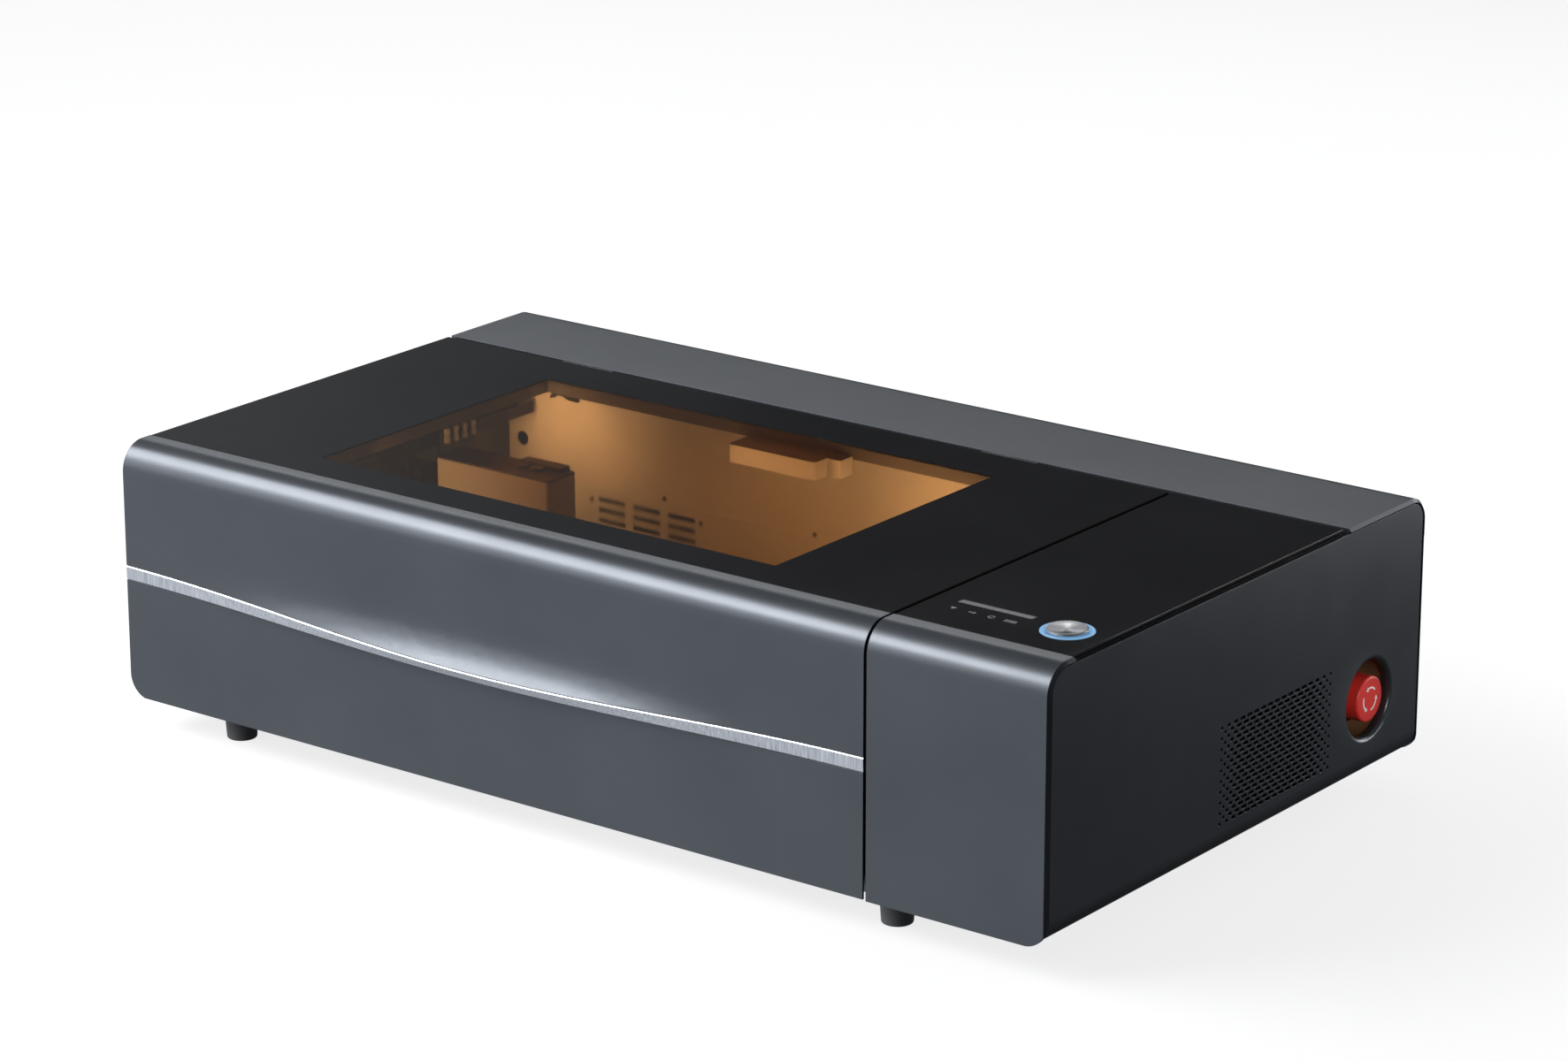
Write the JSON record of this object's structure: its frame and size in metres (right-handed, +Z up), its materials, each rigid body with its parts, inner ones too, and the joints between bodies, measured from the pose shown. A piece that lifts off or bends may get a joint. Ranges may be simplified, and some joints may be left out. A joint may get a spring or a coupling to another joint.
{
  "type": "desktop laser cutter",
  "caption": "Enclosed desktop laser cutter: low steel cabinet, amber-windowed lid with a bowed metal trim, moving gantry and head, side stop button and rear exhaust spigot.",
  "frame": {"origin": "centre of the footprint, on the surface the feet stand on", "axes": "+X to the right seen from the front, +Y to the rear panel, +Z up; lid, door, head and buttons at rest"},
  "size_m": [1, 0.6392, 0.268],
  "materials": {
    "housing_paint": "satin gunmetal powder coat",
    "trim_metal": "brushed across the strip",
    "tinted_glass": "clear amber glass",
    "black_print": "opaque black print",
    "black_glass": "gloss black",
    "frame_paint": "satin dark grey",
    "interior_paint": "matte light grey",
    "hinge_steel": "blackened steel",
    "foot_rubber": "matte dark rubber",
    "bed_metal": "matte black",
    "rail_steel": "ground steel",
    "belt_rubber": "matte",
    "motor_case": "black",
    "gantry_aluminium": "anodised",
    "head_paint": "satin light grey",
    "mirror_mount": "black anodised",
    "lens_metal": "satin",
    "tube_glass": "clear borosilicate",
    "fan_plastic": "black",
    "outlet_plastic": "black",
    "socket_plastic": "black",
    "radiator_metal": "black",
    "tank_plastic": "translucent white",
    "supply_case": "grey",
    "circuit_board": "solder mask",
    "lit_diffuser": "milky diffuser, lit",
    "work_lamp": "milky diffuser, lit",
    "button_steel": "spun finish",
    "recess_plastic": "dark bronze",
    "stop_red": "red"
  },
  "bodies": {
    "cabinet": {"left_side_panel": "housing_paint", "right_side_panel": "housing_paint", "right_front_cover": "housing_paint", "rear_top_cover": "housing_paint", "rear_panel": "housing_paint", "base_pan": "housing_paint", "feet": "foot_rubber", "front_crossbar": "frame_paint", "chamber_rear_wall": "interior_paint", "chamber_side_walls": "frame_paint", "compartment_bulkhead": "frame_paint", "slat_bed": "bed_metal", "fixed_hinge_leaves": "hinge_steel", "hinge_pins": "hinge_steel", "y_rails": "rail_steel", "y_belts": "belt_rubber", "y_motor": "motor_case", "first_mirror": "mirror_mount", "laser_tube": "tube_glass", "tube_clamps": "mirror_mount", "exhaust_duct": "interior_paint", "exhaust_fan_frame": "fan_plastic", "exhaust_outlet": "outlet_plastic", "power_module": "socket_plastic", "radiator": "radiator_metal", "radiator_fan_frame": "fan_plastic", "coolant_tank": "tank_plastic", "laser_power_supply": "supply_case", "control_board": "circuit_board", "control_glass": "black_glass", "panel_lights": "lit_diffuser", "estop_recess": "recess_plastic"},
    "lid": {"lid_shell": "housing_paint", "lid_trim": "trim_metal", "lid_frame": "frame_paint", "lid_glass": "tinted_glass", "window_mask": "black_print", "camera_housing": "interior_paint", "work_light": "work_lamp", "lid_hinge_leaves": "hinge_steel"},
    "front_door": {"lower_front_panel": "housing_paint", "door_hinge_leaves": "hinge_steel"},
    "gantry": {"gantry_beam": "gantry_aluminium", "gantry_carriages": "gantry_aluminium", "x_belt": "belt_rubber", "x_motor": "motor_case", "second_mirror": "mirror_mount"},
    "cross_shaft": {"drive_shaft": "rail_steel"},
    "belt_idlers": {"rear_idlers": "gantry_aluminium"},
    "laser_head": {"head_carriage": "gantry_aluminium", "head_housing": "head_paint"},
    "x_drive": {"x_drive_pulley": "gantry_aluminium"},
    "x_idler": {"x_idler_pulley": "gantry_aluminium"},
    "focus_barrel": {"lens_barrel": "lens_metal"},
    "start_button": {"power_button": "button_steel"},
    "stop_stem": {"estop_stem": "recess_plastic"},
    "stop_cap": {"estop_cap": "stop_red"},
    "smoke_fan": {"exhaust_rotor": "fan_plastic"},
    "cooling_fan": {"radiator_rotor": "fan_plastic"},
    "mains_rocker": {"switch_rocker": "socket_plastic"}
  },
  "joints": [
    {"name": "lid_hinge", "type": "hinge", "parent": "cabinet", "child": "lid", "pos_m": [-0.09, 0.14245, 0.2622], "axis": [-1, 0, 0], "range_deg": [0, 75]},
    {"name": "front_door_hinge", "type": "hinge", "parent": "cabinet", "child": "front_door", "pos_m": [-0.09, -0.29865, 0.035], "axis": [1, 0, 0], "range_deg": [0, 90]},
    {"name": "gantry_slide", "type": "slide", "parent": "cabinet", "child": "gantry", "axis": [0, 1, 0], "range_m": [-0.215, 0.08]},
    {"name": "cross_shaft_spin", "type": "hinge", "parent": "cabinet", "child": "cross_shaft", "pos_m": [-0.09, -0.27035, 0.229], "axis": [1, 0, 0], "range_deg": [-1400, 540]},
    {"name": "idler_spin", "type": "hinge", "parent": "cabinet", "child": "belt_idlers", "pos_m": [-0.09, 0.11065, 0.229], "axis": [1, 0, 0], "range_deg": [-1400, 540]},
    {"name": "head_slide", "type": "slide", "parent": "gantry", "child": "laser_head", "axis": [1, 0, 0], "range_m": [-0.022, 0.44]},
    {"name": "x_drive_spin", "type": "hinge", "parent": "gantry", "child": "x_drive", "pos_m": [-0.354, -0.00235, 0.158], "axis": [0, 0, 1], "range_deg": [-145, 2840]},
    {"name": "x_idler_spin", "type": "hinge", "parent": "gantry", "child": "x_idler", "pos_m": [0.224, -0.00235, 0.158], "axis": [0, 0, 1], "range_deg": [-145, 2840]},
    {"name": "focus_slide", "type": "slide", "parent": "laser_head", "child": "focus_barrel", "axis": [0, 0, 1], "range_m": [-0.012, 0]},
    {"name": "start_button_press", "type": "slide", "parent": "cabinet", "child": "start_button", "axis": [0, 0, -1], "range_m": [0, 0.0015], "stiffness_N_per_m": 1500, "springref_m": -0.002},
    {"name": "stop_button_press", "type": "slide", "parent": "cabinet", "child": "stop_stem", "axis": [-1, 0, 0], "range_m": [0, 0.004]},
    {"name": "stop_button_twist", "type": "hinge", "parent": "stop_stem", "child": "stop_cap", "pos_m": [0.485, 0.18565, 0.101], "axis": [-1, 0, 0], "range_deg": [0, 45], "stiffness_Nm_per_rad": 0.05, "springref_deg": -5.73},
    {"name": "smoke_fan_spin", "type": "hinge", "parent": "cabinet", "child": "smoke_fan", "pos_m": [-0.248, 0.24865, 0.098], "axis": [0, 1, 0], "continuous": true},
    {"name": "cooling_fan_spin", "type": "hinge", "parent": "cabinet", "child": "cooling_fan", "pos_m": [0.452, 0.03515, 0.1005], "axis": [1, 0, 0], "continuous": true},
    {"name": "mains_rocker_tilt", "type": "hinge", "parent": "cabinet", "child": "mains_rocker", "pos_m": [0.405, 0.26565, 0.088], "axis": [1, 0, 0], "range_deg": [-8, 8]}
  ],
  "couplings": [
    {"joint": "cross_shaft_spin", "follows": "gantry_slide", "rad_per_m": 111.73},
    {"joint": "idler_spin", "follows": "gantry_slide", "rad_per_m": 111.73},
    {"joint": "x_drive_spin", "follows": "head_slide", "rad_per_m": 111.73},
    {"joint": "x_idler_spin", "follows": "head_slide", "rad_per_m": 111.73}
  ]
}
